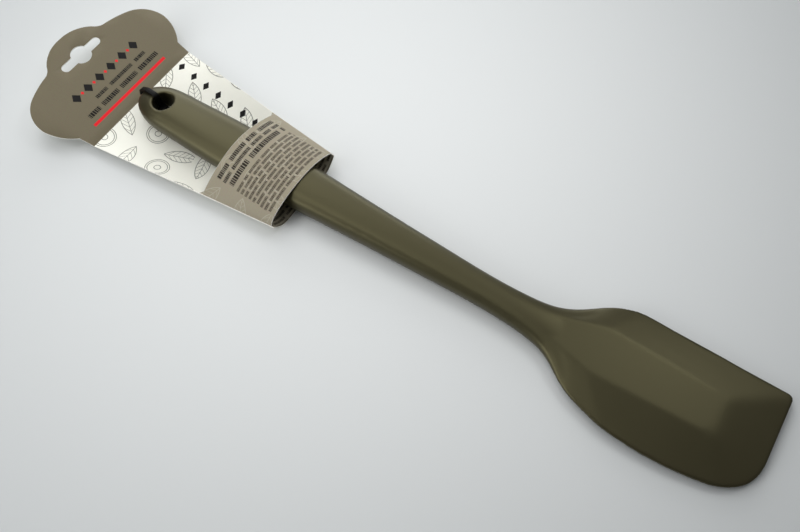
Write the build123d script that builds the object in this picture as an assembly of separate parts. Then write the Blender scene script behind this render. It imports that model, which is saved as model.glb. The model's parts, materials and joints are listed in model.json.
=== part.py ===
from build123d import *
import math
import os

# A one-piece silicone spatula on its folded hang card.
# The spatula is drawn lying along X with the hang hole at zero and is then leaned
# on the table. The card is drawn on the table with the same hole at zero.
# Everything is moved at the end so that zero is the middle of the footprint.

# Handle: driving sizes, in millimetres
HANDLE_END = 12.9            # hang hole to the rounded end
HANDLE_FULL = 4.0            # where the rounded end runs into the grip
HOLE_RADIUS = 4.46
HOLE_LIP = 0.55
NECK_START = 160.0
# place along the handle as a share of the neck's place, then width and thickness
GRIP_WIDTH = 22.1
GRIP_THICK = 12.2
handle_shares = [
    (0.075, 0.930, 0.984),
    (0.125, 0.959, 1.000),
    (0.200, 0.993, 1.000),
    (0.281, 1.000, 0.992),
    (0.437, 0.900, 0.967),
    (0.688, 0.715, 0.869),
    (0.844, 0.628, 0.803),
    (1.000, 0.587, 0.738),
]
END_WIDTH = 20.0
END_THICK = 11.8
OVAL_SHARE = 0.68            # how full the oval section is: 0.5523 is a true ellipse
# the rounded end's sections, by their angle round the end
END_TURNS = (84, 78, 70, 60, 48, 34, 18, 0)

# Blade: driving sizes
BLADE_TIP = 267.5            # hang hole to the straight end edge
BLADE_WIDTH = 48.0
BLADE_LENGTH = 91.5          # shoulders and flat together
EDGE_THICK = 1.7
RIDGE_WIDTH = 19.0           # raised middle, at the neck end
RIDGE_THICK = 7.2            # raised middle, at the neck end
RIDGE_TIP_THICK = 6.0
RIDGE_STOP = 20.0            # raised middle's end to the blade's end
TIP_CORNER = 1.8
RIDGE_CORNER = 1.2           # raised middle's corner on the square side
RIDGE_ROUND = 2.4            # and on the round side
# where the handle flares into the blade: place along the blade, half width on the square
# side, half width on the round side, and thickness beside the raised middle's
flare_shares = [
    (-0.120, 0.279, 0.279, 1.236),
    (-0.044, 0.302, 0.302, 1.194),
    (0.016, 0.340, 0.338, 1.139),
    (0.071, 0.412, 0.396, 1.056),
    (0.131, 0.546, 0.525, 0.917),
    (0.202, 0.754, 0.713, 0.680),
    (0.262, 0.895, 0.812, 0.444),
    (0.328, 0.970, 0.890, 0.236),
]

# Stiffener inside the silicone
CORE_THICK = 4.6
CORE_WIDTH = 9.0
CORE_NECK_WIDTH = 6.4
CORE_NECK_THICK = 3.4
PLATE_THICK = 2.0
PLATE_COVER = 1.6            # silicone left round the plate's outline
EYE_WALL = 1.9               # silicone left inside the eye
EYE_RIM = 2.0
EYE_THICK = 3.6
LOCK_RADIUS = 2.2
LOCK_COUNT = 4

# Card: driving sizes
BOARD = 0.4
CARD_TURN = -1.22            # the card sits a little askew on the handle
CARD_SHIFT = 0.7
HEADER_FOLD = -14.8          # where the header bends up
HEADER_LIFT = 10.4           # degrees
HEADER_HEIGHT = 45.7
HEADER_FOOT_WIDTH = 60.1
HEADER_WIDTH = 75.4
FOLD_RISE = 3.6              # underside of the card at the header's fold
FOLD_BOW = 0.1               # the fold's ends above its middle
SLEEVE_TOP = 38.2
SLEEVE_BOTTOM = 70.2
SLEEVE_BACK_DROP = 1.3       # the back sheet is this much longer
SLEEVE_TOP_WIDTH = 47.4
SLEEVE_BOTTOM_WIDTH = 40.4
FOLD_GAP = 0.3               # the bend line, between header and panel
CREASE_STEP = 0.3            # front sheet's foot above the back sheet's edge
TROUGH_FLAT = 24.0           # width that lies flat under the handle
ARCH_FLAT = 4.0
CREASE_RISE_TOP = 5.1        # side creases above the table
CREASE_RISE_BOTTOM = 5.9
SLOT_LENGTH = 21.8
SLOT_ARM = 4.0
SLOT_EYE = 8.9
SLOT_RISE = 33.8             # slot's centre line above the fold, along the header
FLAP_INSET = 0.9
GLUE_THICK = 0.12
GLUE_INSET = 1.5
ARCH_CLEAR = 0.1
flap_shares = (0.38, 0.93)   # the flap's edges along the sleeve's left arc
glue_shares = (0.45, 0.86)

# place along the panel, then heights, as shares of the fold's rise and the crease's rise
panel_shares = [(0.14, 0.62, 0.76), (0.29, 0.30, 0.82), (0.50, 0.06, 0.89)]

# Cable tie
TIE_WIDTH = 2.3
TIE_THICK = 0.9
TIE_TURN = -6.0
TIE_HEAD_LENGTH = 4.4
TIE_HEAD_WIDTH = 4.0
TIE_HEAD_HEIGHT = 3.4
TIE_SEAT = 1.5               # head's underside above the handle's bottom face
TIE_BEND = 1.6
TIE_OVER = 0.2               # tie above the end's top
TIE_BEYOND = 1.1             # tie clear of the end, for the play in the card
TIE_INSIDE = 0.86            # tie clear of the hole's wall
TIE_UNDER = 0.35             # tie's underside above the table
SLIT_CLEAR = 0.7
TAIL_SHARE = 0.62            # where the tail comes up through the head
RUNNING_CLEAR = 0.3          # between the handle and the card
NEAR_SHARE = 0.001

os.makedirs("parts", exist_ok=True)


def lopsided_oval(place, right, left, thick):
    """Oval section across the spatula, in four quarters, as wide as asked on each side."""
    rise = thick / 2
    bow_right, bow_left, lift = right * OVAL_SHARE, left * OVAL_SHARE, rise * OVAL_SHARE
    quarters = [
        Bezier((right, 0), (right, lift), (bow_right, rise), (0, rise)),
        Bezier((0, rise), (-bow_left, rise), (-left, lift), (-left, 0)),
        Bezier((-left, 0), (-left, -lift), (-bow_left, -rise), (0, -rise)),
        Bezier((0, -rise), (bow_right, -rise), (right, -lift), (right, 0)),
    ]
    return Plane.YZ.offset(place) * make_face(quarters)


def oval(place, width, thick):
    return lopsided_oval(place, width / 2, width / 2, thick)


# Blade outline, in shares of the blade's own length (from the neck) and half width
HALF = BLADE_WIDTH / 2
BLADE_ROOT = BLADE_TIP - BLADE_LENGTH


def blade_point(length_share, width_share):
    return (BLADE_ROOT + BLADE_LENGTH * length_share, HALF * width_share)


def blade_outline():
    """Square corner on one side of the tip, a wide round corner on the other."""
    right_shoulder_shares = [(0.060, 0.36), (0.131, 0.53), (0.205, 0.755), (0.270, 0.905), (0.320, 0.973)]
    left_shoulder_shares = [(0.335, -0.90), (0.225, -0.755), (0.140, -0.535), (0.060, -0.355)]
    root_share, foot_share = -0.05, 0.18
    root_right = blade_point(root_share, foot_share)
    root_left = blade_point(root_share, -foot_share)
    side_start = blade_point(0.38, 1)
    corner_start = (BLADE_TIP - TIP_CORNER, HALF)
    corner_end = (BLADE_TIP, HALF - TIP_CORNER)
    round_start = blade_point(1, -0.14)
    round_end = blade_point(0.845, -0.885)
    belly_end = blade_point(0.42, -0.975)
    right_shoulder = [root_right] + [blade_point(*s) for s in right_shoulder_shares] + [side_start]
    left_shoulder = [belly_end] + [blade_point(*s) for s in left_shoulder_shares] + [root_left]
    return [
        Line(root_left, root_right),
        Spline(*right_shoulder, tangents=[(1, 0.35), (1, 0)]),
        Line(side_start, corner_start),
        RadiusArc(corner_start, corner_end, TIP_CORNER),
        Line(corner_end, round_start),
        Spline(round_start, blade_point(0.957, -0.63), round_end, tangents=[(0, -1), (-1, -0.33)]),
        ThreePointArc(round_end, blade_point(0.62, -1.0), belly_end),
        Spline(*left_shoulder, tangents=[(-1, 0.12), (-1, 0.30)]),
    ]


def ridge_outline(inset):
    """The raised middle, with as many sides as the blade's outline."""
    stop = BLADE_TIP - RIDGE_STOP - inset
    foot_share, shoulder_share = 0.05, 0.26
    foot_half_share, right_shares, left_shares = 0.50, (1.10, 1.02), (0.90, 0.62)
    half = RIDGE_WIDTH / 2 - inset
    foot = BLADE_ROOT + BLADE_LENGTH * foot_share
    shoulder = BLADE_ROOT + BLADE_LENGTH * shoulder_share
    foot_right, foot_left = (foot, half * foot_half_share), (foot, -half * foot_half_share)
    shoulder_right = (shoulder, half * right_shares[0])
    shoulder_left = (shoulder, -half * left_shares[0])
    right, left = half * right_shares[1], -half * left_shares[1]
    return [
        Line(foot_left, foot_right),
        Line(foot_right, shoulder_right),
        Line(shoulder_right, (stop - RIDGE_CORNER, right)),
        RadiusArc((stop - RIDGE_CORNER, right), (stop, right - RIDGE_CORNER), RIDGE_CORNER),
        Line((stop, right - RIDGE_CORNER), (stop, left + RIDGE_ROUND)),
        RadiusArc((stop, left + RIDGE_ROUND), (stop - RIDGE_ROUND, left), RIDGE_ROUND),
        Line((stop - RIDGE_ROUND, left), shoulder_left),
        Line(shoulder_left, foot_left),
    ]


def raised_middle():
    """One half of the blade above its thin rim, with bevels running out to the rim."""
    rim = Pos(0, 0, EDGE_THICK / 2) * make_face(blade_outline())
    stop = BLADE_TIP - RIDGE_STOP
    fall = math.degrees(math.atan((RIDGE_THICK - RIDGE_TIP_THICK) / 2 / (stop - BLADE_ROOT)))
    lift = Pos(stop, 0, RIDGE_TIP_THICK / 2) * Rot(0, fall, 0) * Pos(-stop, 0, 0)
    return loft([rim, lift * make_face(ridge_outline(0))], ruled=True)


def make_blade():
    rim = extrude(make_face(blade_outline()), EDGE_THICK / 2, both=True)
    upper = raised_middle()
    return rim + upper + mirror(upper, about=Plane.XY)


def make_handle():
    """Rounded end, a grip that narrows to the neck, and a flare that thins into the blade."""
    length = HANDLE_END + HANDLE_FULL
    sections = []
    for turn in END_TURNS:
        across = math.cos(math.radians(turn))
        back = HANDLE_FULL - length * math.sin(math.radians(turn))
        sections.append(oval(back, END_WIDTH * across, END_THICK * across))
    for place, width, thick in handle_shares:
        sections.append(oval(NECK_START * place, GRIP_WIDTH * width, GRIP_THICK * thick))
    for place, right, left, thick in flare_shares:
        sections.append(lopsided_oval(
            BLADE_ROOT + BLADE_LENGTH * place, HALF * right, HALF * left, RIDGE_THICK * thick))
    return loft(sections)


def make_core():
    """Stiff insert: an eye round the hang hole, a rod down the handle and a plate in the blade."""
    eye_outer = HOLE_RADIUS + EYE_WALL + EYE_RIM
    eye = Cylinder(eye_outer, EYE_THICK)
    rod_end = BLADE_ROOT + CORE_WIDTH
    rod = loft([
        oval(0, CORE_WIDTH, CORE_THICK),
        oval(NECK_START / 2, CORE_WIDTH, CORE_THICK),
        oval(rod_end, CORE_NECK_WIDTH, CORE_NECK_THICK),
    ], ruled=True)
    plate = extrude(make_face(ridge_outline(PLATE_COVER)), PLATE_THICK / 2, both=True)
    core = eye + rod + plate - Cylinder(HOLE_RADIUS + EYE_WALL, GRIP_THICK)
    first = rod_end + RIDGE_WIDTH
    last = BLADE_TIP - RIDGE_STOP - RIDGE_WIDTH / 2
    for count in range(LOCK_COUNT):
        place = first + (last - first) * count / (LOCK_COUNT - 1)
        core -= Pos(place, 0, 0) * Cylinder(LOCK_RADIUS, GRIP_THICK)
    return core


def make_spatula():
    """Silicone moulded round the core, with a hang hole through both."""
    outer = make_handle() + make_blade() - Cylinder(HOLE_RADIUS, GRIP_THICK * 2)
    lips = []
    for edge in outer.edges():
        away = [math.hypot(edge.position_at(t).X, edge.position_at(t).Y) for t in (0, 0.5, 1)]
        on_hole = max(abs(distance - HOLE_RADIUS) for distance in away) < HOLE_RADIUS * NEAR_SHARE
        if on_hole and edge.geom_type != GeomType.LINE:
            lips.append(edge)
    outer = fillet(lips, HOLE_LIP)
    core = make_core()
    return outer - core, core


# How the spatula lies: on the card's back sheet at the sleeve's lower edge, and on the
# end of the raised middle under the blade
REST_NEAR = SLEEVE_BOTTOM
REST_FAR = BLADE_TIP - RIDGE_STOP


def grip_thick(place):
    """Handle thickness at a place along it."""
    for near, far in zip(handle_shares, handle_shares[1:]):
        start, stop = NECK_START * near[0], NECK_START * far[0]
        if start <= place <= stop:
            share = (place - start) / (stop - start)
            return GRIP_THICK * (near[2] + (far[2] - near[2]) * share)
    return GRIP_THICK


near_height = BOARD + RUNNING_CLEAR + grip_thick(REST_NEAR) / 2
far_height = RIDGE_TIP_THICK / 2
LEAN = math.degrees(math.atan((near_height - far_height) / (REST_FAR - REST_NEAR)))
AXIS_HEIGHT = near_height + REST_NEAR * math.tan(math.radians(LEAN))
lay_down = Pos(0, 0, AXIS_HEIGHT) * Rot(0, LEAN, 0)
place_card = Pos(0, CARD_SHIFT, 0) * Rot(0, 0, CARD_TURN)


def crease_half(place):
    """Half the card's width at a place along it: it narrows towards the sleeve."""
    span = (place - HEADER_FOLD) / (SLEEVE_TOP - HEADER_FOLD)
    if place > SLEEVE_TOP:
        span = (place - SLEEVE_TOP) / (SLEEVE_BOTTOM - SLEEVE_TOP)
        return (SLEEVE_TOP_WIDTH + (SLEEVE_BOTTOM_WIDTH - SLEEVE_TOP_WIDTH) * span) / 2
    return (HEADER_FOOT_WIDTH + (SLEEVE_TOP_WIDTH - HEADER_FOOT_WIDTH) * span) / 2


def crease_rise(place):
    span = (place - SLEEVE_TOP) / (SLEEVE_BOTTOM - SLEEVE_TOP)
    return CREASE_RISE_TOP + (CREASE_RISE_BOTTOM - CREASE_RISE_TOP) * span


class Bend:
    """Section of a bent sheet: flat in the middle, with an arc out to each side edge.

    The sheet's outer face passes through the edge points. A sheet that rises to its
    edges is a trough, and one that falls to them is an arch.
    """

    def __init__(self, place, flat_half, flat_height, edge_half, edge_height):
        across = edge_half - flat_half
        rise = edge_height - flat_height
        self.place = place
        self.flat_half = flat_half
        self.flat_height = flat_height
        self.up = 1 if rise > 0 else -1
        self.radius = (across ** 2 + rise ** 2) / (2 * abs(rise))
        self.turn = 2 * math.degrees(math.atan(abs(rise) / across))

    def point(self, side, depth, share):
        """A point at a depth inside the outer face, by its share of the arc."""
        angle = math.radians(self.turn * share)
        near = self.radius - depth
        return (side * (self.flat_half + near * math.sin(angle)),
                self.flat_height + self.up * (self.radius - near * math.cos(angle)))

    def arc(self, side, depth, start, stop):
        middle = (start + stop) / 2
        return ThreePointArc(*[self.point(side, depth, share) for share in (start, middle, stop)])

    def face(self, lines):
        return Plane.YZ.offset(self.place) * make_face(lines)

    def whole(self, thick):
        """The full width of the sheet."""
        lines = [
            self.arc(-1, 0, 1, 0),
            Line(self.point(-1, 0, 0), self.point(1, 0, 0)),
            self.arc(1, 0, 0, 1),
            Line(self.point(1, 0, 1), self.point(1, thick, 1)),
            self.arc(1, thick, 1, 0),
            Line(self.point(1, thick, 0), self.point(-1, thick, 0)),
            self.arc(-1, thick, 0, 1),
            Line(self.point(-1, thick, 1), self.point(-1, 0, 1)),
        ]
        return self.face(lines)

    def below(self, side, depth):
        """All that lies under one arc at a depth inside the outer face, down to the table."""
        crown, foot = self.point(side, depth, 0), self.point(side, depth, 1)
        lines = [
            self.arc(side, depth, 0, 1),
            Polyline(foot, (foot[0], 0), (crown[0], 0), crown),
        ]
        return self.face(lines)

    def sector(self, side, reach, start, stop):
        """What lies between two shares of the arc, out to a reach on both sides of it."""
        corners = [(-reach, start), (-reach, stop), (reach, stop), (reach, start)]
        return self.face(Polyline(*[self.point(side, *corner) for corner in corners], close=True))


def trough(place, flat_height, edge_height):
    bend = Bend(place, TROUGH_FLAT / 2, flat_height, crease_half(place), edge_height)
    return bend.whole(BOARD)


def make_card_back():
    """Panel behind the handle and the sleeve's back sheet, in one bent sheet."""
    fold = HEADER_FOLD + FOLD_GAP / 2
    stations = [trough(fold, FOLD_RISE, FOLD_RISE + FOLD_BOW)]
    for share, height_share, edge_share in panel_shares:
        place = fold + (SLEEVE_TOP - fold) * share
        stations.append(trough(place, FOLD_RISE * height_share, CREASE_RISE_TOP * edge_share))
    stations.append(trough(SLEEVE_TOP, 0, CREASE_RISE_TOP))
    end = SLEEVE_BOTTOM + SLEEVE_BACK_DROP
    stations.append(trough(end, 0, crease_rise(end)))
    return loft(stations, ruled=True)


def handle_top(place):
    return AXIS_HEIGHT - place * math.tan(math.radians(LEAN)) + grip_thick(place) / 2


def arch(place):
    """The sleeve's front sheet, from crease to crease over the handle."""
    crown = handle_top(place) + RUNNING_CLEAR + ARCH_CLEAR + BOARD
    foot = crease_rise(place) + BOARD + CREASE_STEP
    return Bend(place, ARCH_FLAT / 2, crown, crease_half(place), foot)


def sleeve_strip(depth, thick, shares, inset):
    """A strip behind the sleeve's left side, cut short of both mouths."""
    arches = [arch(SLEEVE_TOP), arch(SLEEVE_BOTTOM)]
    outer = loft([bend.below(-1, depth) for bend in arches], ruled=True)
    inner = loft([bend.below(-1, depth + thick) for bend in arches], ruled=True)
    sector = loft([bend.sector(-1, END_THICK, *shares) for bend in arches], ruled=True)
    long = SLEEVE_BOTTOM - SLEEVE_TOP - 2 * inset
    window = Pos(SLEEVE_TOP + inset, 0, 0) * Box(
        long, SLEEVE_TOP_WIDTH * 2, handle_top(0) * 2, align=(Align.MIN, Align.CENTER, Align.MIN))
    return (outer - inner) & sector & window


def make_sleeve():
    """Front sheet, the flap folded in behind its left side and the glue between them."""
    front = loft([arch(place).whole(BOARD) for place in (SLEEVE_TOP, SLEEVE_BOTTOM)], ruled=True)
    flap = sleeve_strip(BOARD + GLUE_THICK, BOARD, flap_shares, FLAP_INSET)
    glue = sleeve_strip(BOARD, GLUE_THICK, glue_shares, FLAP_INSET + GLUE_INSET)
    return front, flap, glue


def header_side(side):
    """One side of the header's edge, from its foot up to the middle of its crown."""
    def at(rise_share, half_share):
        return (-HEADER_HEIGHT * rise_share, side * HEADER_WIDTH / 2 * half_share)

    foot = (-FOLD_GAP / 2, side * HEADER_FOOT_WIDTH / 2)
    waist, lobe, shoulder = at(0.153, 0.822), at(0.431, 1.0), at(0.744, 0.756)
    nick, dip, crown = at(0.814, 0.461), at(0.880, 0.363), at(1.0, 0)
    return [
        Line(foot, waist),
        ThreePointArc(waist, at(0.269, 0.934), lobe),
        ThreePointArc(lobe, at(0.617, 0.942), shoulder),
        ThreePointArc(shoulder, at(0.796, 0.565), nick),
        ThreePointArc(nick, at(0.838, 0.408), dip),
        ThreePointArc(dip, at(0.961, 0.228), crown),
    ]


def make_header():
    """Lobed header with its hanging slot, bent up a little from the panel."""
    foot = Line((-FOLD_GAP / 2, -HEADER_FOOT_WIDTH / 2), (-FOLD_GAP / 2, HEADER_FOOT_WIDTH / 2))
    sheet = make_face(header_side(1) + header_side(-1) + [foot])
    slot = Rot(0, 0, 90) * SlotOverall(SLOT_LENGTH, SLOT_ARM) + Circle(SLOT_EYE / 2)
    sheet -= Pos(-SLOT_RISE, 0) * slot
    return Pos(HEADER_FOLD, 0, FOLD_RISE) * Rot(0, HEADER_LIFT, 0) * extrude(sheet, BOARD)


# Cable tie: its loop goes up out of the hang hole, over the end and down through the card
tie_turned = Rot(0, 0, TIE_TURN)
END_BACK = -HANDLE_END
tie_inner_leg = -HOLE_RADIUS + TIE_INSIDE + TIE_THICK / 2
tie_head_back = tie_inner_leg - TIE_THICK / 2
tie_tail_leg = tie_head_back + TIE_HEAD_LENGTH * TAIL_SHARE
tie_outer_leg = END_BACK - TIE_BEYOND - TIE_THICK / 2
tie_foot = END_BACK + TIE_THICK
tie_floor = TIE_UNDER + TIE_THICK / 2
tie_head_foot = AXIS_HEIGHT - END_THICK / 2 + TIE_SEAT
tie_head_top = tie_head_foot + TIE_HEAD_HEIGHT
tie_crown = AXIS_HEIGHT + END_THICK / 2 + TIE_OVER
# the loop's bends over the end: how far back and how high, as shares of the end's sizes
knee_shares, elbow_shares, hip_share = (0.705, 0.445), (1.05, 0.20), 0.06


def make_tie():
    route = [
        (tie_inner_leg, tie_head_foot + TIE_THICK),
        (tie_inner_leg, tie_crown),
        (END_BACK * knee_shares[0], AXIS_HEIGHT + END_THICK * knee_shares[1]),
        (END_BACK * elbow_shares[0], AXIS_HEIGHT + END_THICK * elbow_shares[1]),
        (tie_outer_leg, AXIS_HEIGHT - END_THICK * hip_share),
        (tie_foot, tie_floor),
        (tie_tail_leg, tie_floor),
        (tie_tail_leg, tie_head_top + TIE_THICK),
    ]
    line = FilletPolyline(*route, radius=TIE_BEND)
    strap = Plane.XZ * trace(line, TIE_THICK)
    strap = extrude(strap, TIE_WIDTH / 2, both=True)
    head = Pos(tie_head_back, 0, tie_head_foot) * Box(
        TIE_HEAD_LENGTH, TIE_HEAD_WIDTH, TIE_HEAD_HEIGHT, align=(Align.MIN, Align.CENTER, Align.MIN))
    return strap + head


def tie_slits():
    """Holes in the panel where the tie goes through, with room round it."""
    long = TIE_THICK + 2 * SLIT_CLEAR
    wide = TIE_WIDTH + 2 * SLIT_CLEAR
    lean_share = (AXIS_HEIGHT - FOLD_RISE) / (AXIS_HEIGHT - tie_floor)
    outer_place = tie_outer_leg + (tie_foot - tie_outer_leg) * lean_share
    slits = []
    for place in (outer_place, tie_tail_leg):
        slits.append(Pos(place, 0, 0) * Box(long, wide, AXIS_HEIGHT * 2))
    return tie_turned * Compound(children=slits)


silicone_body, stiffener_core = make_spatula()
front, flap, glue = make_sleeve()
card_back = place_card * make_card_back()
for slit in tie_slits().solids():
    card_back -= slit

pieces = {
    "silicone_body": lay_down * silicone_body,
    "stiffener_core": lay_down * stiffener_core,
    "card_back": card_back,
    "card_header": place_card * make_header(),
    "sleeve_front": place_card * front,
    "sleeve_flap": place_card * flap,
    "sleeve_glue": place_card * glue,
    "cable_tie": tie_turned * make_tie(),
}

# The middle of the footprint goes to zero
box = Compound(children=[Compound(piece.solids()) for piece in pieces.values()]).bounding_box()
home = Pos(-box.center().X, -box.center().Y, -box.min.Z)
for node, piece in pieces.items():
    export_step(home * Compound(piece.solids()), f"parts/{node}.step")
print("hang hole at", -box.center().X, -box.center().Y, -box.min.Z, "lean", LEAN, "axis", AXIS_HEIGHT)
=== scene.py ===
import json
import math

import bmesh
import bpy
from mathutils import Matrix, Vector
from mathutils.bvhtree import BVHTree


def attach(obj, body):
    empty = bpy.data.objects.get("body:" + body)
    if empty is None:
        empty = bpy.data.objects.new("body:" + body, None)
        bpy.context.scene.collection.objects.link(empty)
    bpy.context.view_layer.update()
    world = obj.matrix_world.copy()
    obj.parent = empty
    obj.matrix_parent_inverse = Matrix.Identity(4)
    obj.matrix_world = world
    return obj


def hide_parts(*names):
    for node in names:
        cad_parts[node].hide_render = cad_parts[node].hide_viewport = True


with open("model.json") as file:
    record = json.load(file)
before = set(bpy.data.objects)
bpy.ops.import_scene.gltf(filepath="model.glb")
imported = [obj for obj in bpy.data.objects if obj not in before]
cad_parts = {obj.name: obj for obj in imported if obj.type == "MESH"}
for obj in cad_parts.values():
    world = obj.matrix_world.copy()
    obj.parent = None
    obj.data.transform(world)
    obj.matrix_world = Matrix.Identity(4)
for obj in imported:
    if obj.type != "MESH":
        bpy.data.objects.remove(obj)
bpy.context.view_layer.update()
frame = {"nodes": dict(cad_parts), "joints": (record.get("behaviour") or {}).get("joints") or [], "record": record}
MM = 0.001

# Silicone body. Grip, neck and blade are one moulding of matte olive-taupe silicone over a
# stiff core. It comes out of a finely blasted mould, so its gloss is soft and no edge is sharp.
SKIN_STEP = 0.5 * MM             # size of the skin's facets
BLADE_FROM = 55 * MM             # the blade's creases lie beyond this place
CREASE_SOFT = 0.8 * MM           # how far a crease is spread to each side
END_FROM = 138.5 * MM            # past here the raised middle runs out more softly
END_SOFT = 2.8 * MM
FLAT_SHARE = 0.80                # a facet belongs to the blade's faces if it lies this flat
FLAT_FADE = 0.12
SAME_CORNER = 0.002 * MM         # triangles' corners this close are one
SAMPLE_TURNS = 6                 # a softened height is the mean of the heights round it
SAMPLE_SHARES = (0.45, 1.0)
SAMPLE_ABOVE = 50 * MM           # heights are looked up from this far outside
EDGE_ROUNDS = 5                  # passes that soften every edge
SILICONE = "#312e21"
SILICONE_DARK = "#2c291d"
SILICONE_SHINE = "#fff6bc"       # its gloss is a little yellow
CLOUD = 28.6 * MM                # patches of powder and touch
GRAIN = 0.35 * MM                # blasted grain, drawn as coarse as it needs to show
GRAIN_DEPTH = 0.02 * MM


def linear(code):
    """An sRGB hex colour as linear red, green, blue and alpha."""
    parts = [int(code[i:i + 2], 16) / 255 for i in (1, 3, 5)]
    return [c / 12.92 if c <= 0.04045 else ((c + 0.055) / 1.055) ** 2.4 for c in parts] + [1.0]


def wire(tree, node, **links):
    """Sets inputs of a node, by name or as i0, i1, to values, sockets or a node's first output."""
    for name, value in links.items():
        key = int(name[1:]) if name[1:].isdigit() else name.replace("_", " ")
        if isinstance(value, bpy.types.Node):
            value = value.outputs[0]
        if isinstance(value, bpy.types.NodeSocket):
            tree.links.new(value, node.inputs[key])
        else:
            node.inputs[key].default_value = value


def add_node(tree, kind, settings=None, **links):
    """A node with its settings, and what its inputs are set to."""
    node = tree.nodes.new(kind)
    for name, value in (settings or {}).items():
        setattr(node, name, value)
    wire(tree, node, **links)
    return node


def new_material(name):
    """An empty material, its node tree and its surface shader."""
    material = bpy.data.materials.new(name)
    material.use_nodes = True
    tree = material.node_tree
    return material, tree, tree.nodes["Principled BSDF"]


def joined_copy(node, name):
    """A new piece that starts as the outer skin of a CAD node, with its triangles joined."""
    mesh = frame["nodes"][node].data.copy()
    mesh.materials.clear()
    piece = bpy.data.objects.new(name, mesh)
    bpy.context.scene.collection.objects.link(piece)
    form = bmesh.new()
    form.from_mesh(mesh)
    bmesh.ops.remove_doubles(form, verts=form.verts, dist=SAME_CORNER)
    outer = {max(form.verts, key=lambda v: v.co.x)}
    front = list(outer)
    while front:
        near = {e.other_vert(v) for v in front for e in v.link_edges} - outer
        outer |= near
        front = list(near)
    inner = [v for v in form.verts if v not in outer]
    bmesh.ops.delete(form, geom=inner, context="VERTS")
    form.to_mesh(mesh)
    form.free()
    return piece


def settle(piece):
    """Applies the piece's modifiers to its mesh."""
    graph = bpy.context.evaluated_depsgraph_get()
    mesh = bpy.data.meshes.new_from_object(piece.evaluated_get(graph))
    piece.modifiers.clear()
    piece.data = mesh
    return mesh


moulding = joined_copy("silicone_body", "moulding")
silicone = joined_copy("silicone_body", "spatula_silicone")
remesh = silicone.modifiers.new("skin", "REMESH")
remesh.mode = "VOXEL"
remesh.voxel_size = SKIN_STEP
hug = silicone.modifiers.new("hug", "SHRINKWRAP")
hug.target = moulding
skin = settle(silicone)
shell = BVHTree.FromObject(moulding, bpy.context.evaluated_depsgraph_get())
bpy.data.objects.remove(moulding)
form = bmesh.new()
form.from_mesh(skin)
turns = [math.pi * step / SAMPLE_TURNS for step in range(SAMPLE_TURNS)]
spread = [Vector((math.cos(turn), math.sin(turn), 0)) * share
          for turn in turns for share in SAMPLE_SHARES]
for vert in form.verts:
    fade = min(1, (abs(vert.normal.z) - FLAT_SHARE) / FLAT_FADE)
    if vert.co.x < BLADE_FROM or fade <= 0:
        continue
    end_share = min(1, max(0, (vert.co.x - END_FROM) / END_SOFT))
    reach = (CREASE_SOFT + (END_SOFT - CREASE_SOFT) * end_share) * fade
    high = Vector((0, 0, math.copysign(SAMPLE_ABOVE, vert.normal.z)))
    heights = []
    for way in spread:
        starts = [vert.co + high + way * reach * sign for sign in (1, -1)]
        pair = [shell.ray_cast(start, -high)[0] for start in starts]
        if all(pair):
            heights += [hit.z for hit in pair]
    if heights:
        vert.co.z = sum(heights) / len(heights)
for count in range(EDGE_ROUNDS):
    bmesh.ops.smooth_vert(form, verts=form.verts, factor=0.5, use_axis_x=True, use_axis_y=True,
                          use_axis_z=True)
form.to_mesh(skin)
form.free()
skin.shade_smooth()

# Moulded silicone: no metal, a wide low gloss, and a slight cloudiness from powder and touch.
material, tree, shader = new_material("moulded_silicone")
place = add_node(tree, "ShaderNodeTexCoord").outputs["Object"]
cloud = add_node(tree, "ShaderNodeTexNoise", Vector=place, Scale=1 / CLOUD, Detail=4.0)
tone = add_node(tree, "ShaderNodeMix", {"data_type": "RGBA"}, Factor=cloud,
                i6=linear(SILICONE_DARK), i7=linear(SILICONE))
grain = add_node(tree, "ShaderNodeTexNoise", Vector=place, Scale=1 / GRAIN, Detail=2.0)
bump = add_node(tree, "ShaderNodeBump", Height=grain, Strength=0.10, Distance=GRAIN_DEPTH)
rough = add_node(tree, "ShaderNodeMapRange", Value=cloud, To_Min=0.345, To_Max=0.385)
wire(tree, shader, Base_Color=tone.outputs[2], Normal=bump, Roughness=rough, IOR=1.6,
     Specular_Tint=linear(SILICONE_SHINE))
silicone.data.materials.append(material)
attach(silicone, "spatula")
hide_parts("silicone_body")

# Stiffener core. A glass-filled nylon insert that the silicone is moulded round, as it comes
# from its own mould: dull and near black. Nothing of it shows.
NYLON = "#2c2b29"
NYLON_DARK = "#1d1d1c"
FIBRE_CLUMP = 1.1 * MM
material, tree, shader = new_material("glass_filled_nylon")
place = add_node(tree, "ShaderNodeTexCoord").outputs["Object"]
fibre = add_node(tree, "ShaderNodeTexNoise", Vector=place, Scale=1 / FIBRE_CLUMP, Detail=2.0)
tone = add_node(tree, "ShaderNodeMix", {"data_type": "RGBA"}, Factor=fibre,
                i6=linear(NYLON_DARK), i7=linear(NYLON))
wire(tree, shader, Base_Color=tone.outputs[2], Roughness=0.6)
core = frame["nodes"]["stiffener_core"]
core.data.materials.clear()
core.data.materials.append(material)

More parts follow.
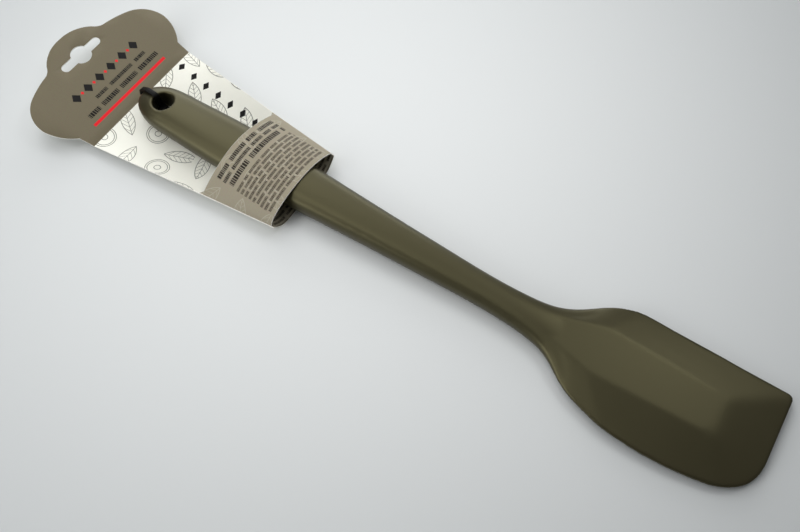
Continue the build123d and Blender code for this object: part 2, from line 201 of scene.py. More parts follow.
# Hang card. One blank of coated folding board, printed on its face, die-cut, creased and
# glued. Places on it are told from the middle of the crease under the header: along the
# card towards the blade, then across it.
BOARD = 0.4 * MM
EDGE_WEAR = 0.10 * MM            # die-cut edges are worn down to the bare board
EDGE_ANGLE = math.radians(40)    # an edge at least this sharp was die-cut
COAT_GLOSS = 0.15                # a matt varnish over the print
COAT_IOR = 1.48
PRINT_DOT = 0.5 * MM             # mottle of the print, drawn as coarse as it needs to show
WAVE = 6 * MM                    # unevenness of the sheet
WAVE_DEPTH = 0.15 * MM
FIBRE = 0.4 * MM
CUT_EDGE = "#fbf9f2"
REVERSE = "#dcd9cd"
INK_BLACK = "#080605"
INK_RED = "#ea1c26"
fold = next(joint for joint in frame["joints"] if joint["name"] == "header_bend")
fold_place = Vector(fold["pos_m"])
card_turn = math.atan2(-fold["axis"][0], fold["axis"][1])
card_middle = Matrix.Translation((fold_place.x, fold_place.y, 0))
card_frame = card_middle @ Matrix.Rotation(card_turn, 4, "Z")


def printed_board(name, print_code, marks):
    """Coated board, seen on its printed side: an even colour under a thin varnish that is
    nearly matt, and a sheet that isn't quite flat. Marks pair a mask's maker with its ink."""
    material, tree, shader = new_material(name)
    place = add_node(tree, "ShaderNodeUVMap", {"uv_map": "print"}).outputs["UV"]
    axes = add_node(tree, "ShaderNodeSeparateXYZ", Vector=place)
    dot = add_node(tree, "ShaderNodeTexNoise", Vector=place, Scale=1 / PRINT_DOT, Detail=1.0)
    tone = add_node(tree, "ShaderNodeMix", {"data_type": "RGBA", "blend_type": "OVERLAY"},
                    Factor=0.10, i6=linear(print_code), i7=dot.outputs["Color"]).outputs[2]
    for make_mask, code in marks:
        mask = make_mask(tree, place, axes.outputs["Y"], axes.outputs["X"])
        tone = add_node(tree, "ShaderNodeMix", {"data_type": "RGBA"}, Factor=mask, i6=tone,
                        i7=linear(code)).outputs[2]
    wave = add_node(tree, "ShaderNodeTexNoise", Vector=place, Scale=1 / WAVE, Detail=3.0)
    bump = add_node(tree, "ShaderNodeBump", Height=wave, Strength=0.25, Distance=WAVE_DEPTH)
    rough = add_node(tree, "ShaderNodeMapRange", Value=wave, To_Min=0.38, To_Max=0.52)
    wire(tree, shader, Base_Color=tone, Normal=bump, Roughness=rough, IOR=COAT_IOR,
         Specular_IOR_Level=COAT_GLOSS)
    return material


def bare_board(name, code):
    """Uncoated board, as on the blank's reverse and at its cut edges: matt, with short fibres."""
    material, tree, shader = new_material(name)
    place = add_node(tree, "ShaderNodeTexCoord").outputs["Object"]
    fibre = add_node(tree, "ShaderNodeTexNoise", Vector=place, Scale=1 / FIBRE, Detail=4.0)
    tone = add_node(tree, "ShaderNodeMix", {"data_type": "RGBA", "blend_type": "OVERLAY"},
                    Factor=0.18, i6=linear(code), i7=fibre.outputs["Color"])
    wire(tree, shader, Base_Color=tone.outputs[2], Roughness=0.85)
    return material


reverse = bare_board("board_reverse", REVERSE)
cut_edge = bare_board("board_cut_edge", CUT_EDGE)


def finish_board(piece, face, body, node):
    """Gives a sheet its thickness, behind its printed face, its worn edges and its finishes, and
    names the body that it moves with, and hides the node that it stands for."""
    for material in (face, reverse, cut_edge):
        piece.data.materials.append(material)
    wall = piece.modifiers.new("board", "SOLIDIFY")
    wall.thickness = BOARD
    wall.offset = -1
    wall.use_even_offset = True
    wall.material_offset = 1
    wall.material_offset_rim = 2
    worn = piece.modifiers.new("worn_edges", "BEVEL")
    worn.width = EDGE_WEAR
    worn.segments = 2
    worn.limit_method = "ANGLE"
    worn.angle_limit = EDGE_ANGLE
    worn.harden_normals = True
    worn.material = 2
    piece.data.shade_smooth()
    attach(piece, body)
    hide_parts(node)


# Header. The card's printed top, die-cut in lobes with a hanging slot, and bent up at the
# crease. It stays a little curled across from the stack it was cut in.
TAUPE = "#766e59"
HEADER_CURL = 0.5 * MM
CURL_START = 1 / 3               # share of the header's height where the curl is full
HEADER_CUTS = 10                 # strips each way, so that the sheet can curl
SAME_PLACE = 0.01 * MM
SAME_FACE = math.radians(1)      # facets that differ by less are joined in one
FACE_UP = 0.9                    # a face that looks up at least this much is the printed one
RULE_RISE = 6.3 * MM
RULE_HALF = 0.70 * MM
RULE_SHIFT = -0.75 * MM
RULE_REACH = 22.0 * MM
LOZENGE_RISE = 20.5 * MM
LOZENGE_PITCH = 7.0 * MM
LOZENGE_HALF = (2.6 * MM, 2.1 * MM)
BEAD_HALF = (0.9 * MM, 0.75 * MM)
WORD_GAP = 0.07                  # gaps in the dummy rows, as shares of a word and of a stroke
STROKE_GAP = 0.14
STROKE_SHARE = 0.42              # a stroke's length, as a share of the row's height
ROW_SEED = 7.31                  # moves each row's gaps away from the last row's


def red_rule(tree, place, across, along):
    """Mask of the plain rule above the crease."""
    rise = add_node(tree, "ShaderNodeMath", {"operation": "COMPARE"}, i0=along, i1=-RULE_RISE,
                    i2=RULE_HALF)
    reach = add_node(tree, "ShaderNodeMath", {"operation": "COMPARE"}, i0=across, i1=RULE_SHIFT,
                     i2=RULE_REACH)
    return add_node(tree, "ShaderNodeMath", {"operation": "MULTIPLY"}, i0=rise, i1=reach)


def lozenge(tree, offsets, half):
    """Mask of a lozenge, from the distances to its middle each way and its half sizes."""
    parts = []
    for offset, size in zip(offsets, half):
        away = add_node(tree, "ShaderNodeMath", {"operation": "ABSOLUTE"}, i0=offset)
        parts.append(add_node(tree, "ShaderNodeMath", {"operation": "DIVIDE"}, i0=away, i1=size))
    total = add_node(tree, "ShaderNodeMath", {"operation": "ADD"}, i0=parts[0], i1=parts[1])
    return add_node(tree, "ShaderNodeMath", {"operation": "LESS_THAN"}, i0=total, i1=1.0)


def lozenge_row(half, count, shift):
    """Maker of a mask of a row of lozenges across the header."""
    def make_mask(tree, place, across, along):
        spot = add_node(tree, "ShaderNodeMath", {"operation": "ADD"}, i0=across, i1=shift)
        share = add_node(tree, "ShaderNodeMath", {"operation": "WRAP"}, i0=spot,
                         i1=LOZENGE_PITCH / 2, i2=-LOZENGE_PITCH / 2)
        rise = add_node(tree, "ShaderNodeMath", {"operation": "ADD"}, i0=along, i1=LOZENGE_RISE)
        shape = lozenge(tree, (rise, share), half)
        reach = add_node(tree, "ShaderNodeMath", {"operation": "COMPARE"}, i0=across, i1=0.0,
                         i2=LOZENGE_PITCH * count / 2)
        return add_node(tree, "ShaderNodeMath", {"operation": "MULTIPLY"}, i0=shape, i1=reach)
    return make_mask


def filler_rows(tree, across, along, first, pitch, count, height, word, half, middle=0.0):
    """Mask of rows of blank bars, as a printer's dummy has where words would be."""
    rise = add_node(tree, "ShaderNodeMath", {"operation": "SUBTRACT"}, i0=along, i1=first)
    step = add_node(tree, "ShaderNodeMath", {"operation": "DIVIDE"}, i0=rise, i1=pitch)
    row = add_node(tree, "ShaderNodeMath", {"operation": "FLOOR"}, i0=step)
    share = add_node(tree, "ShaderNodeMath", {"operation": "FRACT"}, i0=step)
    seed = add_node(tree, "ShaderNodeMath", {"operation": "MULTIPLY_ADD"}, i0=row, i1=ROW_SEED,
                    i2=first / MM)
    masks = []
    for value, centre, reach in ((share, 0.5, height / pitch / 2), (step, count / 2, count / 2),
                                 (across, middle, half)):
        masks.append(add_node(tree, "ShaderNodeMath", {"operation": "COMPARE"}, i0=value,
                              i1=centre, i2=reach))
    for length, gap in ((word, WORD_GAP), (height * STROKE_SHARE, STROKE_GAP)):
        spot = add_node(tree, "ShaderNodeMath", {"operation": "MULTIPLY_ADD"}, i0=across,
                        i1=1 / length, i2=seed)
        edge = add_node(tree, "ShaderNodeTexVoronoi",
                        {"voronoi_dimensions": "1D", "feature": "DISTANCE_TO_EDGE"}, W=spot,
                        Scale=1.0)
        masks.append(add_node(tree, "ShaderNodeMath", {"operation": "GREATER_THAN"}, i0=edge,
                              i1=gap))
    mask = masks[0]
    for other in masks[1:]:
        mask = add_node(tree, "ShaderNodeMath", {"operation": "MULTIPLY"}, i0=mask, i1=other)
    return mask


def filler(**facts):
    """Maker of a mask of dummy rows."""
    return lambda tree, place, across, along: filler_rows(tree, across, along, **facts)


header_face = printed_board("coated_board_taupe", TAUPE, [
    (red_rule, INK_RED),
    (filler(first=-11.8 * MM, pitch=2.6 * MM, count=1, height=2.2 * MM, word=13 * MM,
            half=21 * MM), INK_BLACK),
    (filler(first=-15.8 * MM, pitch=2.2 * MM, count=1, height=1.7 * MM, word=15 * MM,
            half=15 * MM, middle=3 * MM), INK_BLACK),
    (lozenge_row(LOZENGE_HALF, 6, LOZENGE_PITCH / 2), INK_BLACK),
    (lozenge_row(BEAD_HALF, 5, 0.0), INK_RED),
])
header = joined_copy("card_header", "card_header_sheet")
form = bmesh.new()
form.from_mesh(header.data)
bmesh.ops.transform(form, matrix=card_frame.inverted(), verts=form.verts)
ups = [face for face in form.faces if face.normal.z > FACE_UP]
top = max(ups, key=lambda face: face.calc_area())
lift = math.atan2(top.normal.x, top.normal.z)
lay_flat = Matrix.Rotation(-lift, 4, "Y") @ Matrix.Translation((0, 0, -fold_place.z))
bmesh.ops.transform(form, matrix=lay_flat, verts=form.verts)
form.normal_update()
under = [face for face in form.faces if face.normal.z < FACE_UP]
bmesh.ops.delete(form, geom=under, context="FACES")
bmesh.ops.dissolve_limit(form, angle_limit=SAME_FACE, verts=form.verts, edges=form.edges)
# the blank isn't parted at its crease, so the sheet starts right at it
for vert in form.verts:
    if abs(vert.co.x) < BOARD:
        vert.co.x = 0
low = min(vert.co.x for vert in form.verts)
wide = max(vert.co.y for vert in form.verts)
for count in range(1, HEADER_CUTS):
    share = count / HEADER_CUTS
    lengthwise = (low * share, 0, 0), (1, 0, 0)
    crosswise = (0, wide * (2 * share - 1), 0), (0, 1, 0)
    for spot, normal in (lengthwise, crosswise):
        bmesh.ops.bisect_plane(form, geom=form.verts[:] + form.edges[:] + form.faces[:],
                               dist=SAME_PLACE, plane_co=spot, plane_no=normal)
layer = form.loops.layers.uv.new("print")
for face in form.faces:
    for loop in face.loops:
        loop[layer].uv = loop.vert.co.xy
for vert in form.verts:
    start = min(1, vert.co.x / low / CURL_START)
    vert.co.z += HEADER_CURL * (vert.co.y / wide) ** 2 * start
bmesh.ops.transform(form, matrix=card_frame @ lay_flat.inverted(), verts=form.verts)
form.to_mesh(header.data)
form.free()
finish_board(header, header_face, "header", "card_header")

# Panel and the sleeve's back sheet. One flat stretch of the blank, bowed by the handle that
# it is tied to: its side creases stand off the table and its middle lies down. The tie's
# strap goes down through one slit and comes up through the other.
PANEL_LONG = 86.3 * MM
PANEL_CELLS = (86, 48)
SLEEVE_TOP = 53.0 * MM
SLEEVE_FOOT = 85.0 * MM
panel_halves = [(0.0, 30.05 * MM), (SLEEVE_TOP, 23.7 * MM), (SLEEVE_FOOT, 20.2 * MM),
                (PANEL_LONG, 20.05 * MM)]
FLAT_HALF = 12.0 * MM
CREASE_RISE = (5.1 * MM, 5.9 * MM)
MIDDLE_FALL = 3.4                # how soon the middle comes down from the header's crease
EDGE_START = 0.725               # rise of the side edges at the header's crease, as a share
EDGE_BEND = 0.8
TIE_PLACES = (-12.90 * MM, -0.87 * MM)
TIE_TURN = math.radians(-6.0)
SLIT_HALF = (1.2 * MM, 2.0 * MM)
CREAM = "#fffff4"
# taupe print under the sleeve, partly painted light: painted lighter than the sleeve's outer taupe, as fill light
# in the shade under the arch
TAUPE_INSIDE_PAINTED_FILL = "#b5ae9b"
INK_GREY = "#8b8b82"
INK_BROWN = "#241d16"
INK_BROWN_LIGHT = "#4b4236"
PRINT_LINE = 0.15 * MM           # half the width of a drawn line
VEIN_SHARE = 0.8                 # a leaf's veins are drawn this much thinner
LEAF_HALF = 7.0 * MM
LEAF_BULGE = 2.7 * MM
LEAF_PITCH = 13.6 * MM
LEAF_SCATTER = 0.30
LEAF_SHARE = 0.68                # the other drawings are cut rounds
VEIN_PITCH = 2.1 * MM
RING_RADII = (1.3 * MM, 3.9 * MM, 4.7 * MM)
MARK_FIRST = 2.6 * MM            # the column of lozenges beside the handle
MARK_PITCH = 7.3 * MM
MARK_HALF = (1.5 * MM, 2.1 * MM)
MARK_OUT = 22.5 * MM
MARK_SLANT = -0.11
MARK_STOP = 1.0 * MM             # it ends this far before the sleeve
ZONE_START = 1.5 * MM            # the taupe print starts this far before the sleeve
ROWS_HALF = 18.0 * MM
BACK_ROWS_HALF = 21.0 * MM


def between(table, place):
    """Straight-line value of a table of places and values."""
    for (near, low), (far, high) in zip(table, table[1:]):
        if place <= far:
            return low + (high - low) * (place - near) / (far - near)
    return table[-1][1]


def panel_height(along, across):
    """Height of the panel's upper face."""
    share = min(1, along / SLEEVE_TOP)
    middle = fold_place.z * (1 - share) ** MIDDLE_FALL
    edge = CREASE_RISE[0] * (EDGE_START + (1 - EDGE_START) * share ** EDGE_BEND)
    past = max(0, along - SLEEVE_TOP) / (SLEEVE_FOOT - SLEEVE_TOP)
    edge += (CREASE_RISE[1] - CREASE_RISE[0]) * past
    out = max(0, abs(across) - FLAT_HALF) / (between(panel_halves, along) - FLAT_HALF)
    return middle + (edge - middle) * out ** 2 + BOARD


def drawn_leaves(tree, place, across, along):
    """Mask of thin outline drawings, leaves and cut rounds, one in each scattered cell."""
    cell = add_node(tree, "ShaderNodeTexVoronoi", {"voronoi_dimensions": "2D"},
                    Vector=place, Scale=1 / LEAF_PITCH, Randomness=LEAF_SCATTER)
    pick = add_node(tree, "ShaderNodeSeparateColor", Color=cell.outputs["Color"])
    off = add_node(tree, "ShaderNodeVectorMath", {"operation": "SUBTRACT"}, i0=place,
                   i1=cell.outputs["Position"])
    angle = add_node(tree, "ShaderNodeMath", {"operation": "MULTIPLY"}, i0=pick, i1=2 * math.pi)
    turned = add_node(tree, "ShaderNodeVectorRotate", {"rotation_type": "Z_AXIS"},
                      Vector=off, Angle=angle)
    radius = (LEAF_HALF ** 2 + LEAF_BULGE ** 2) / (2 * LEAF_BULGE)
    reach = [add_node(tree, "ShaderNodeVectorMath", {"operation": "DISTANCE"}, i0=turned,
                      i1=(0, side * (radius - LEAF_BULGE), 0)).outputs["Value"]
             for side in (1, -1)]
    outline = add_node(tree, "ShaderNodeMath", {"operation": "MAXIMUM"}, i0=reach[0], i1=reach[1])
    inside = add_node(tree, "ShaderNodeMath", {"operation": "LESS_THAN"}, i0=outline, i1=radius)
    leaf = add_node(tree, "ShaderNodeMath", {"operation": "COMPARE"}, i0=outline, i1=radius,
                    i2=PRINT_LINE)
    axes = add_node(tree, "ShaderNodeSeparateXYZ", Vector=turned)
    side = add_node(tree, "ShaderNodeMath", {"operation": "ABSOLUTE"}, i0=axes.outputs["Y"])
    slant = add_node(tree, "ShaderNodeMath", {"operation": "SUBTRACT"}, i0=axes.outputs["X"],
                     i1=side)
    comb = add_node(tree, "ShaderNodeMath", {"operation": "WRAP"}, i0=slant, i1=VEIN_PITCH, i2=0.0)
    for line, middle in ((side, 0.0), (comb, VEIN_PITCH / 2)):
        near = add_node(tree, "ShaderNodeMath", {"operation": "COMPARE"}, i0=line, i1=middle,
                        i2=PRINT_LINE * VEIN_SHARE)
        vein = add_node(tree, "ShaderNodeMath", {"operation": "MULTIPLY"}, i0=near, i1=inside)
        leaf = add_node(tree, "ShaderNodeMath", {"operation": "MAXIMUM"}, i0=leaf, i1=vein)
    rounds = 0.0
    away = add_node(tree, "ShaderNodeVectorMath", {"operation": "LENGTH"}, i0=off).outputs["Value"]
    for ring_radius in RING_RADII:
        ring = add_node(tree, "ShaderNodeMath", {"operation": "COMPARE"}, i0=away,
                        i1=ring_radius, i2=PRINT_LINE)
        rounds = add_node(tree, "ShaderNodeMath", {"operation": "MAXIMUM"}, i0=rounds, i1=ring)
    is_round = add_node(tree, "ShaderNodeMath", {"operation": "GREATER_THAN"},
                        i0=pick.outputs[1], i1=LEAF_SHARE)
    return add_node(tree, "ShaderNodeMix", i0=is_round, i2=leaf, i3=rounds)


def side_marks(tree, place, across, along):
    """Mask of a column of small solid lozenges beside the handle."""
    travel = add_node(tree, "ShaderNodeMath", {"operation": "SUBTRACT"}, i0=along, i1=MARK_FIRST)
    step = add_node(tree, "ShaderNodeMath", {"operation": "WRAP"}, i0=travel,
                    i1=MARK_PITCH / 2, i2=-MARK_PITCH / 2)
    tilt = add_node(tree, "ShaderNodeMath", {"operation": "MULTIPLY_ADD"}, i0=along,
                    i1=MARK_SLANT, i2=MARK_OUT)
    side = add_node(tree, "ShaderNodeMath", {"operation": "SUBTRACT"}, i0=across, i1=tilt)
    shape = lozenge(tree, (step, side), MARK_HALF)
    reach = add_node(tree, "ShaderNodeMath", {"operation": "LESS_THAN"}, i0=along,
                     i1=SLEEVE_TOP - MARK_STOP)
    return add_node(tree, "ShaderNodeMath", {"operation": "MULTIPLY"}, i0=shape, i1=reach)


def sleeve_zone(tree, place, across, along):
    """Mask of the stretch of the blank that the sleeve's back sheet is cut from."""
    return add_node(tree, "ShaderNodeMath", {"operation": "GREATER_THAN"}, i0=along,
                    i1=SLEEVE_TOP - ZONE_START)


panel_face = printed_board("coated_board_cream", CREAM, [
    (drawn_leaves, INK_GREY),
    (side_marks, INK_BLACK),
    # the sleeve's back sheet: its taupe print, painted lighter as fill light in the arch's shade
    (sleeve_zone, TAUPE_INSIDE_PAINTED_FILL),
    (filler(first=65.2 * MM, pitch=2.0 * MM, count=11, height=1.1 * MM, word=9 * MM,
            half=BACK_ROWS_HALF), INK_BROWN_LIGHT),
])
form = bmesh.new()
bmesh.ops.create_grid(form, x_segments=PANEL_CELLS[0], y_segments=PANEL_CELLS[1], size=0.5)
layer = form.loops.layers.uv.new("print")
for vert in form.verts:
    along = (vert.co.x + 0.5) * PANEL_LONG
    vert.co = (along, vert.co.y * 2 * between(panel_halves, along), 0)
for face in form.faces:
    for loop in face.loops:
        loop[layer].uv = loop.vert.co.xy
hole = next(mount for mount in frame["record"]["mounts"] if mount["name"] == "hang_hole")
tie_frame = Matrix.Translation(hole["pos_m"]) @ Matrix.Rotation(TIE_TURN, 4, "Z")
slits = [card_frame.inverted() @ tie_frame @ Vector((spot, 0, 0)) for spot in TIE_PLACES]
cuts = []
for face in form.faces:
    middle = face.calc_center_median()
    if any(abs(middle.x - slit.x) < SLIT_HALF[0] and abs(middle.y - slit.y) < SLIT_HALF[1]
           for slit in slits):
        cuts.append(face)
bmesh.ops.delete(form, geom=cuts, context="FACES")
for vert in form.verts:
    vert.co.z = panel_height(vert.co.x, vert.co.y)
bmesh.ops.transform(form, matrix=card_frame, verts=form.verts)
panel = bpy.data.objects.new("card_panel", bpy.data.meshes.new("card_panel"))
bpy.context.scene.collection.objects.link(panel)
form.to_mesh(panel.data)
form.free()
finish_board(panel, panel_face, "card", "card_back")

# Sleeve. The blank's wing comes round over the handle in an arch, and its end is glued to the
# tab that is folded up inside the left crease. Handling has left it boxier on that side.
TAUPE_LIGHT = "#a19985"
LEAF_PALE = "#b3ad9b"
# across as a share of the half width, and rise as a share of the way from crease to crown
foot_arch_shares = [
    (1.0, -0.10), (1.015, 0.02), (0.93, 0.27), (0.66, 0.71), (0.33, 0.97), (0.0, 1.03),
    (-0.36, 0.99), (-0.68, 0.76), (-0.92, 0.42), (-1.01, 0.03), (-1.0, -0.10)]
top_arch_shares = [
    (1.0, -0.09), (1.01, 0.02), (0.88, 0.26), (0.61, 0.62), (0.34, 0.90), (0.06, 1.02),
    (-0.22, 0.98), (-0.50, 0.75), (-0.72, 0.51), (-1.01, 0.03), (-1.0, -0.09)]
CROWN = (13.9 * MM, 13.15 * MM)
STATIONS = 4


def arch_row(share, points, inset):
    """Places of the arch's cage at a share of the way along it, and how far the print has
    come round at each of them."""
    along = SLEEVE_TOP + inset + (SLEEVE_FOOT - SLEEVE_TOP - 2 * inset) * share
    half = between(panel_halves, along)
    low = CREASE_RISE[0] + (CREASE_RISE[1] - CREASE_RISE[0]) * share + BOARD
    crown = CROWN[0] + (CROWN[1] - CROWN[0]) * share
    places, travels = [], []
    for top, foot in zip(top_arch_shares[points], foot_arch_shares[points]):
        across = top[0] + (foot[0] - top[0]) * share
        rise = top[1] + (foot[1] - top[1]) * share
        places.append(Vector((along, across * half, low + (crown - low) * rise)))
        step = (places[-1] - places[-2]).length if travels else 0.0
        travels.append(travels[-1] + step if travels else 0.0)
    return places, travels


def sleeve_sheet(name, points=slice(None), inset=0.0):
    """A sheet of the arch between two of its points, kept clear of both mouths by an inset."""
    rows = [arch_row(count / STATIONS, points, inset) for count in range(STATIONS + 1)]
    last = len(rows[0][0]) - 1
    form = bmesh.new()
    bmesh.ops.create_grid(form, x_segments=STATIONS, y_segments=last, size=0.5)
    layer = form.loops.layers.uv.new("print")
    printed = {}
    for vert in form.verts:
        places, travels = rows[round((vert.co.x + 0.5) * STATIONS)]
        spot = round((0.5 - vert.co.y) * last)
        middle = travels[len(travels) // 2] if points == slice(None) else 0.0
        vert.co = places[spot]
        printed[vert] = (vert.co.x, middle - travels[spot])
    for face in form.faces:
        for loop in face.loops:
            loop[layer].uv = printed[loop.vert]
    bmesh.ops.transform(form, matrix=card_frame, verts=form.verts)
    sheet = bpy.data.objects.new(name, bpy.data.meshes.new(name))
    bpy.context.scene.collection.objects.link(sheet)
    form.to_mesh(sheet.data)
    form.free()
    smooth = sheet.modifiers.new("bend", "SUBSURF")
    smooth.levels = smooth.render_levels = 3
    smooth.boundary_smooth = "PRESERVE_CORNERS"
    return sheet


sleeve_face = printed_board("coated_board_sleeve", TAUPE_LIGHT, [
    (drawn_leaves, LEAF_PALE),
    (filler(first=55.0 * MM, pitch=2.6 * MM, count=1, height=2.0 * MM, word=11 * MM,
            half=ROWS_HALF), INK_BROWN),
    (filler(first=58.2 * MM, pitch=2.2 * MM, count=1, height=1.6 * MM, word=9 * MM,
            half=ROWS_HALF), INK_BROWN),
    (filler(first=61.0 * MM, pitch=2.9 * MM, count=1, height=2.4 * MM, word=14 * MM,
            half=ROWS_HALF), INK_BROWN),
    (filler(first=65.2 * MM, pitch=2.0 * MM, count=9, height=1.2 * MM, word=6 * MM,
            half=ROWS_HALF), INK_BROWN_LIGHT),
])
sleeve = sleeve_sheet("sleeve_arch")
finish_board(sleeve, sleeve_face, "card", "sleeve_front")

# Glued tab. It is folded up from the left crease and stuck behind the arch with a thin film
# of dispersion glue, which stops short of the sleeve's two mouths and hardly shows there.
TAB_POINTS = slice(6, 10)
TAB_INSET = 0.9 * MM
GLUE_INSET = 2.4 * MM
GLUE_THICK = 0.12 * MM
GLUE = "#ece8da"
GLUE_DARK = "#d9d3bd"
GLUE_PATCH = 1.5 * MM


def sink(piece, depth):
    """Moves a sheet back from its face by a depth."""
    form = bmesh.new()
    form.from_mesh(piece.data)
    form.normal_update()
    for vert, normal in [(vert, vert.normal.copy()) for vert in form.verts]:
        vert.co -= normal * depth
    form.to_mesh(piece.data)
    form.free()


tab = sleeve_sheet("sleeve_tab", TAB_POINTS, TAB_INSET)
sink(tab, BOARD + GLUE_THICK)
finish_board(tab, sleeve_face, "card", "sleeve_flap")
glue = sleeve_sheet("sleeve_glue_line", TAB_POINTS, GLUE_INSET)
sink(glue, BOARD)
film_wall = glue.modifiers.new("film", "SOLIDIFY")
film_wall.thickness = GLUE_THICK
glue.data.shade_smooth()

# Dried dispersion glue: a cream film, smooth but not glossy, of uneven depth.
material, tree, shader = new_material("dried_dispersion_glue")
place = add_node(tree, "ShaderNodeTexCoord").outputs["Object"]
film = add_node(tree, "ShaderNodeTexNoise", Vector=place, Scale=1 / GLUE_PATCH, Detail=3.0)
tone = add_node(tree, "ShaderNodeMix", {"data_type": "RGBA"}, Factor=film,
                i6=linear(GLUE_DARK), i7=linear(GLUE))
wire(tree, shader, Base_Color=tone.outputs[2], Roughness=0.35)
glue.data.materials.append(material)
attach(glue, "card")
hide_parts("sleeve_glue")

# Cable tie. One moulding of black nylon that ties the handle's end down to the panel. Its
# strap is smooth outside, with fine teeth across its inner face.
TIE_EDGE = 0.22 * MM
TIE_CORNER = math.radians(50)    # an edge at least this sharp is rounded
TIE_BLACK = "#0a0908"
TOOTH_PITCH = 0.9 * MM
TOOTH_DEPTH = 0.08 * MM
WAVE_SPAN = 0.314                # length of a wave texture's band at a scale of one
MOULD_MARK = 3 * MM
tie = joined_copy("cable_tie", "cable_tie_loop")
form = bmesh.new()
form.from_mesh(tie.data)
bmesh.ops.dissolve_limit(form, angle_limit=SAME_FACE, verts=form.verts, edges=form.edges)
form.to_mesh(tie.data)
form.free()
soft = tie.modifiers.new("moulded_edges", "BEVEL")
soft.width = TIE_EDGE
soft.segments = 3
soft.limit_method = "ANGLE"
soft.angle_limit = TIE_CORNER
soft.harden_normals = True
tie.data.shade_smooth()

# Black nylon as moulded: an even black with a soft sheen, broken up a little by flow marks.
# The teeth are drawn across the strap's upright stretches, on all their faces.
material, tree, shader = new_material("black_nylon_gloss")
place = add_node(tree, "ShaderNodeTexCoord").outputs["Object"]
teeth = add_node(tree, "ShaderNodeTexWave", {"bands_direction": "Z", "wave_profile": "SIN"},
                 Vector=place, Scale=WAVE_SPAN / TOOTH_PITCH)
bump = add_node(tree, "ShaderNodeBump", Height=teeth.outputs["Fac"], Strength=0.35,
                Distance=TOOTH_DEPTH)
mark = add_node(tree, "ShaderNodeTexNoise", Vector=place, Scale=1 / MOULD_MARK, Detail=2.0)
rough = add_node(tree, "ShaderNodeMapRange", Value=mark, To_Min=0.34, To_Max=0.46)
wire(tree, shader, Base_Color=linear(TIE_BLACK), Normal=bump, Roughness=rough,
     Specular_IOR_Level=0.1)
tie.data.materials.append(material)
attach(tie, "card")
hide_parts("cable_tie")

# Camera at the photograph's viewing angle: pitched down at the table, turned away from +Y and
# rolled a little. The middle of its view lies on the table at AIM.
LENS_SHARE = 0.981               # focal length, as a share of the picture's width
SENSOR = 36
PITCH = math.radians(64.0)
ROLL = math.radians(0.41)
HEADING = math.radians(-31.93)
DISTANCE = 305.8 * MM
AIM = Vector((16.03 * MM, -7.62 * MM, 0))
across = Vector((math.cos(HEADING), -math.sin(HEADING), 0))
away = Vector((math.sin(HEADING), math.cos(HEADING), 0))
forward = away * math.cos(PITCH) - Vector((0, 0, math.sin(PITCH)))
level_up = across.cross(forward)
side = across * math.cos(ROLL) + level_up * math.sin(ROLL)
upward = level_up * math.cos(ROLL) - across * math.sin(ROLL)
camera = bpy.data.objects.new("camera", bpy.data.cameras.new("camera"))
bpy.context.scene.collection.objects.link(camera)
camera.data.sensor_width = SENSOR
camera.data.lens = SENSOR * LENS_SHARE
turned = Matrix((side, upward, -forward)).transposed().to_4x4()
camera.matrix_world = Matrix.Translation(AIM - forward * DISTANCE) @ turned
bpy.context.scene.camera = camera

# Table: a pale sheet with a painted pool of light: its colour is painted lightest near one spot
# and darker away from it, for the falloff of the lamps' light. Past the lamps' reach the camera
# sees it and the room as one even backdrop, which sheds no light on the object.
FLOOR_SIZE = 6.0
FLOOR_PALE = "#f0f3f3"
# painted shade: the far colour, the lightest spot and the reach of the painted falloff of light
FLOOR_FAR_PAINTED_SHADE = "#b4b8b9"
FLOOR_PAINTED_LIGHT_SPOT = AIM - across * (15 * MM) + away * (40 * MM)
FLOOR_PAINTED_FALLOFF = 320 * MM
BACKDROP = "#c2c6c7"
BACKDROP_FROM, BACKDROP_FULL = 260 * MM, 560 * MM
bpy.ops.mesh.primitive_plane_add(size=FLOOR_SIZE)
floor = bpy.context.object
floor.name = "floor"
material, tree, shader = new_material("pale_sheet_painted_falloff")
place = add_node(tree, "ShaderNodeTexCoord").outputs["Object"]
gone = add_node(tree, "ShaderNodeVectorMath", {"operation": "DISTANCE"}, i0=place,
                i1=FLOOR_PAINTED_LIGHT_SPOT).outputs["Value"]
fade = add_node(tree, "ShaderNodeMapRange", {"interpolation_type": "SMOOTHSTEP"}, Value=gone,
                From_Max=FLOOR_PAINTED_FALLOFF)
# painted light falloff: the sheet's colour turns from the pale tone to a darker one away from its lightest spot
tone = add_node(tree, "ShaderNodeMix", {"data_type": "RGBA"}, Factor=fade,
                i6=linear(FLOOR_PALE), i7=linear(FLOOR_FAR_PAINTED_SHADE))
wire(tree, shader, Base_Color=tone.outputs[2], Roughness=0.9)
rays = add_node(tree, "ShaderNodeLightPath")
seen = add_node(tree, "ShaderNodeMath", {"operation": "MAXIMUM"}, i0=rays.outputs["Is Camera Ray"],
                i1=rays.outputs["Is Transmission Ray"])
far = add_node(tree, "ShaderNodeMapRange", {"interpolation_type": "SMOOTHSTEP"}, Value=gone,
               From_Min=BACKDROP_FROM, From_Max=BACKDROP_FULL)
share = add_node(tree, "ShaderNodeMath", {"operation": "MULTIPLY"}, i0=far, i1=seen)
even = add_node(tree, "ShaderNodeEmission", Color=linear(BACKDROP), Strength=1.0)
both = add_node(tree, "ShaderNodeMixShader", i0=share, i1=shader, i2=even)
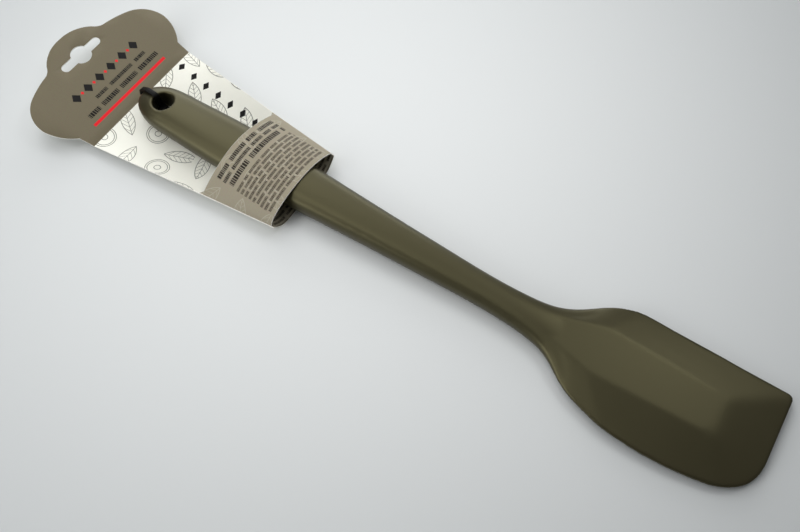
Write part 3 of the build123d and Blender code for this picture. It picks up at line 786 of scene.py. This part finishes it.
wire(tree, tree.nodes["Material Output"], Surface=both)
floor.data.materials.append(material)

# Soft lamps round and over the table, told from the middle of the view: across, away and up
# in metres, then their two sizes and their power.
ROOM = "#f9fcff"
ROOM_LIGHT = 0.05


def lamp(name, place, size, power):
    """A soft rectangular lamp that faces the middle of the view."""
    light = bpy.data.lights.new(name, "AREA")
    light.shape = "RECTANGLE"
    light.size, light.size_y = size
    light.energy = power
    holder = bpy.data.objects.new(name, light)
    bpy.context.scene.collection.objects.link(holder)
    holder.location = AIM + across * place[0] + away * place[1] + Vector((0, 0, place[2]))
    holder.rotation_mode = "QUATERNION"
    holder.rotation_quaternion = (holder.location - AIM).to_track_quat("Z", "Y")


lamp("left_near_lamp", (-0.70, -0.35, 0.30), (0.40, 0.50), 2.3)
lamp("left_top_lamp", (-0.45, -0.05, 0.60), (0.40, 0.50), 1.26)
lamp("left_back_lamp", (-0.30, 0.45, 0.60), (0.40, 0.40), 1.16)
lamp("back_lamp", (-0.02, 0.48, 0.26), (0.60, 0.34), 0.55)
lamp("far_lamp", (-0.10, 0.75, 0.22), (0.90, 0.36), 2.1)
lamp("top_lamp", (-0.10, 0.05, 0.75), (0.50, 0.50), 0.86)
lamp("middle_lamp", (0.05, 0.45, 0.60), (0.35, 0.35), 0.49)
lamp("right_lamp", (0.34, 0.17, 0.60), (0.24, 0.16), 0.32)
lamp("right_back_lamp", (0.44, 0.31, 0.60), (0.18, 0.18), 0.41)
world = bpy.data.worlds.new("room")
world.use_nodes = True
tree = world.node_tree
room = tree.nodes["Background"]
wire(tree, room, Color=linear(ROOM), Strength=ROOM_LIGHT)
backdrop = add_node(tree, "ShaderNodeBackground", Color=linear(BACKDROP), Strength=1.0)
rays = add_node(tree, "ShaderNodeLightPath")
both = add_node(tree, "ShaderNodeMixShader", i0=rays.outputs["Is Camera Ray"], i1=room, i2=backdrop)
wire(tree, tree.nodes["World Output"], Surface=both)
bpy.context.scene.world = world
bpy.context.scene.view_settings.view_transform = "Standard"
